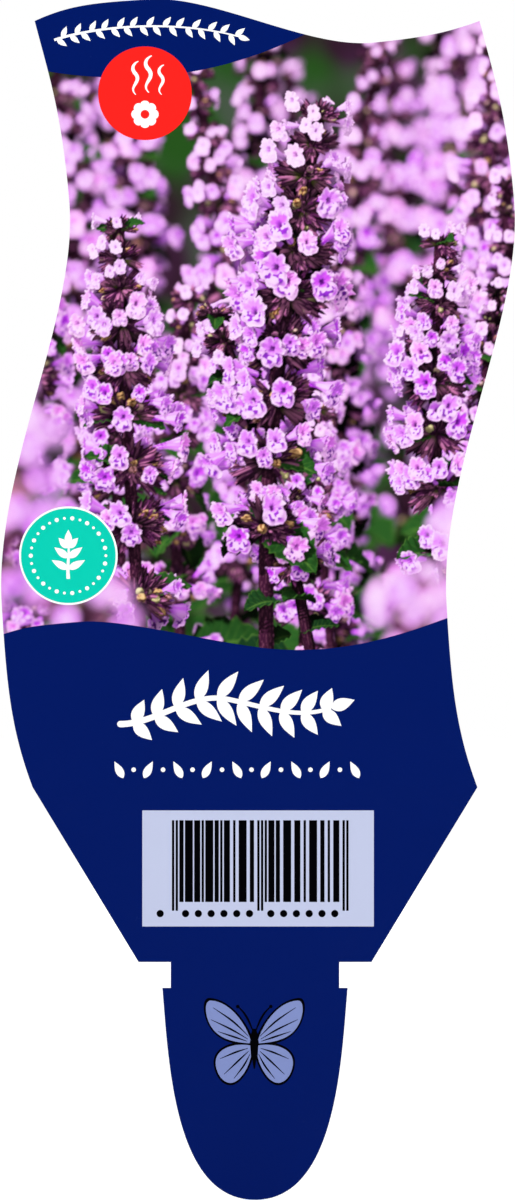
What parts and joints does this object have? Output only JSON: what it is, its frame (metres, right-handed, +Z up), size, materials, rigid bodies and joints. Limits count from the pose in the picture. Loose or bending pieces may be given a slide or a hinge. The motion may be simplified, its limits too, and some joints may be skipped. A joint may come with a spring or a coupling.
{
  "type": "plant label",
  "caption": "Flat die-cut plastic plant label: printed head with wavy sides, sloping shoulders, barbed neck that locks in a pot's rim slot, and a round-ended tongue.",
  "frame": {"origin": "on the back face, in the middle of the neck's top, level with the two shoulder stops", "axes": "+Z up the label; the printed face looks along -Y, and +X is to the right as the print is seen"},
  "size_m": [0.0732, 0.0005, 0.1711],
  "materials": {
    "navy_ink": "satin",
    "white_plastic": "satin",
    "picture_ink": "satin",
    "red_ink": "satin",
    "teal_ink": "satin",
    "pale_blue_ink": "satin",
    "mid_blue_ink": "satin",
    "black_ink": "satin"
  },
  "bodies": {
    "root": {"label-sheet": "navy_ink"}
  },
  "joints": []
}
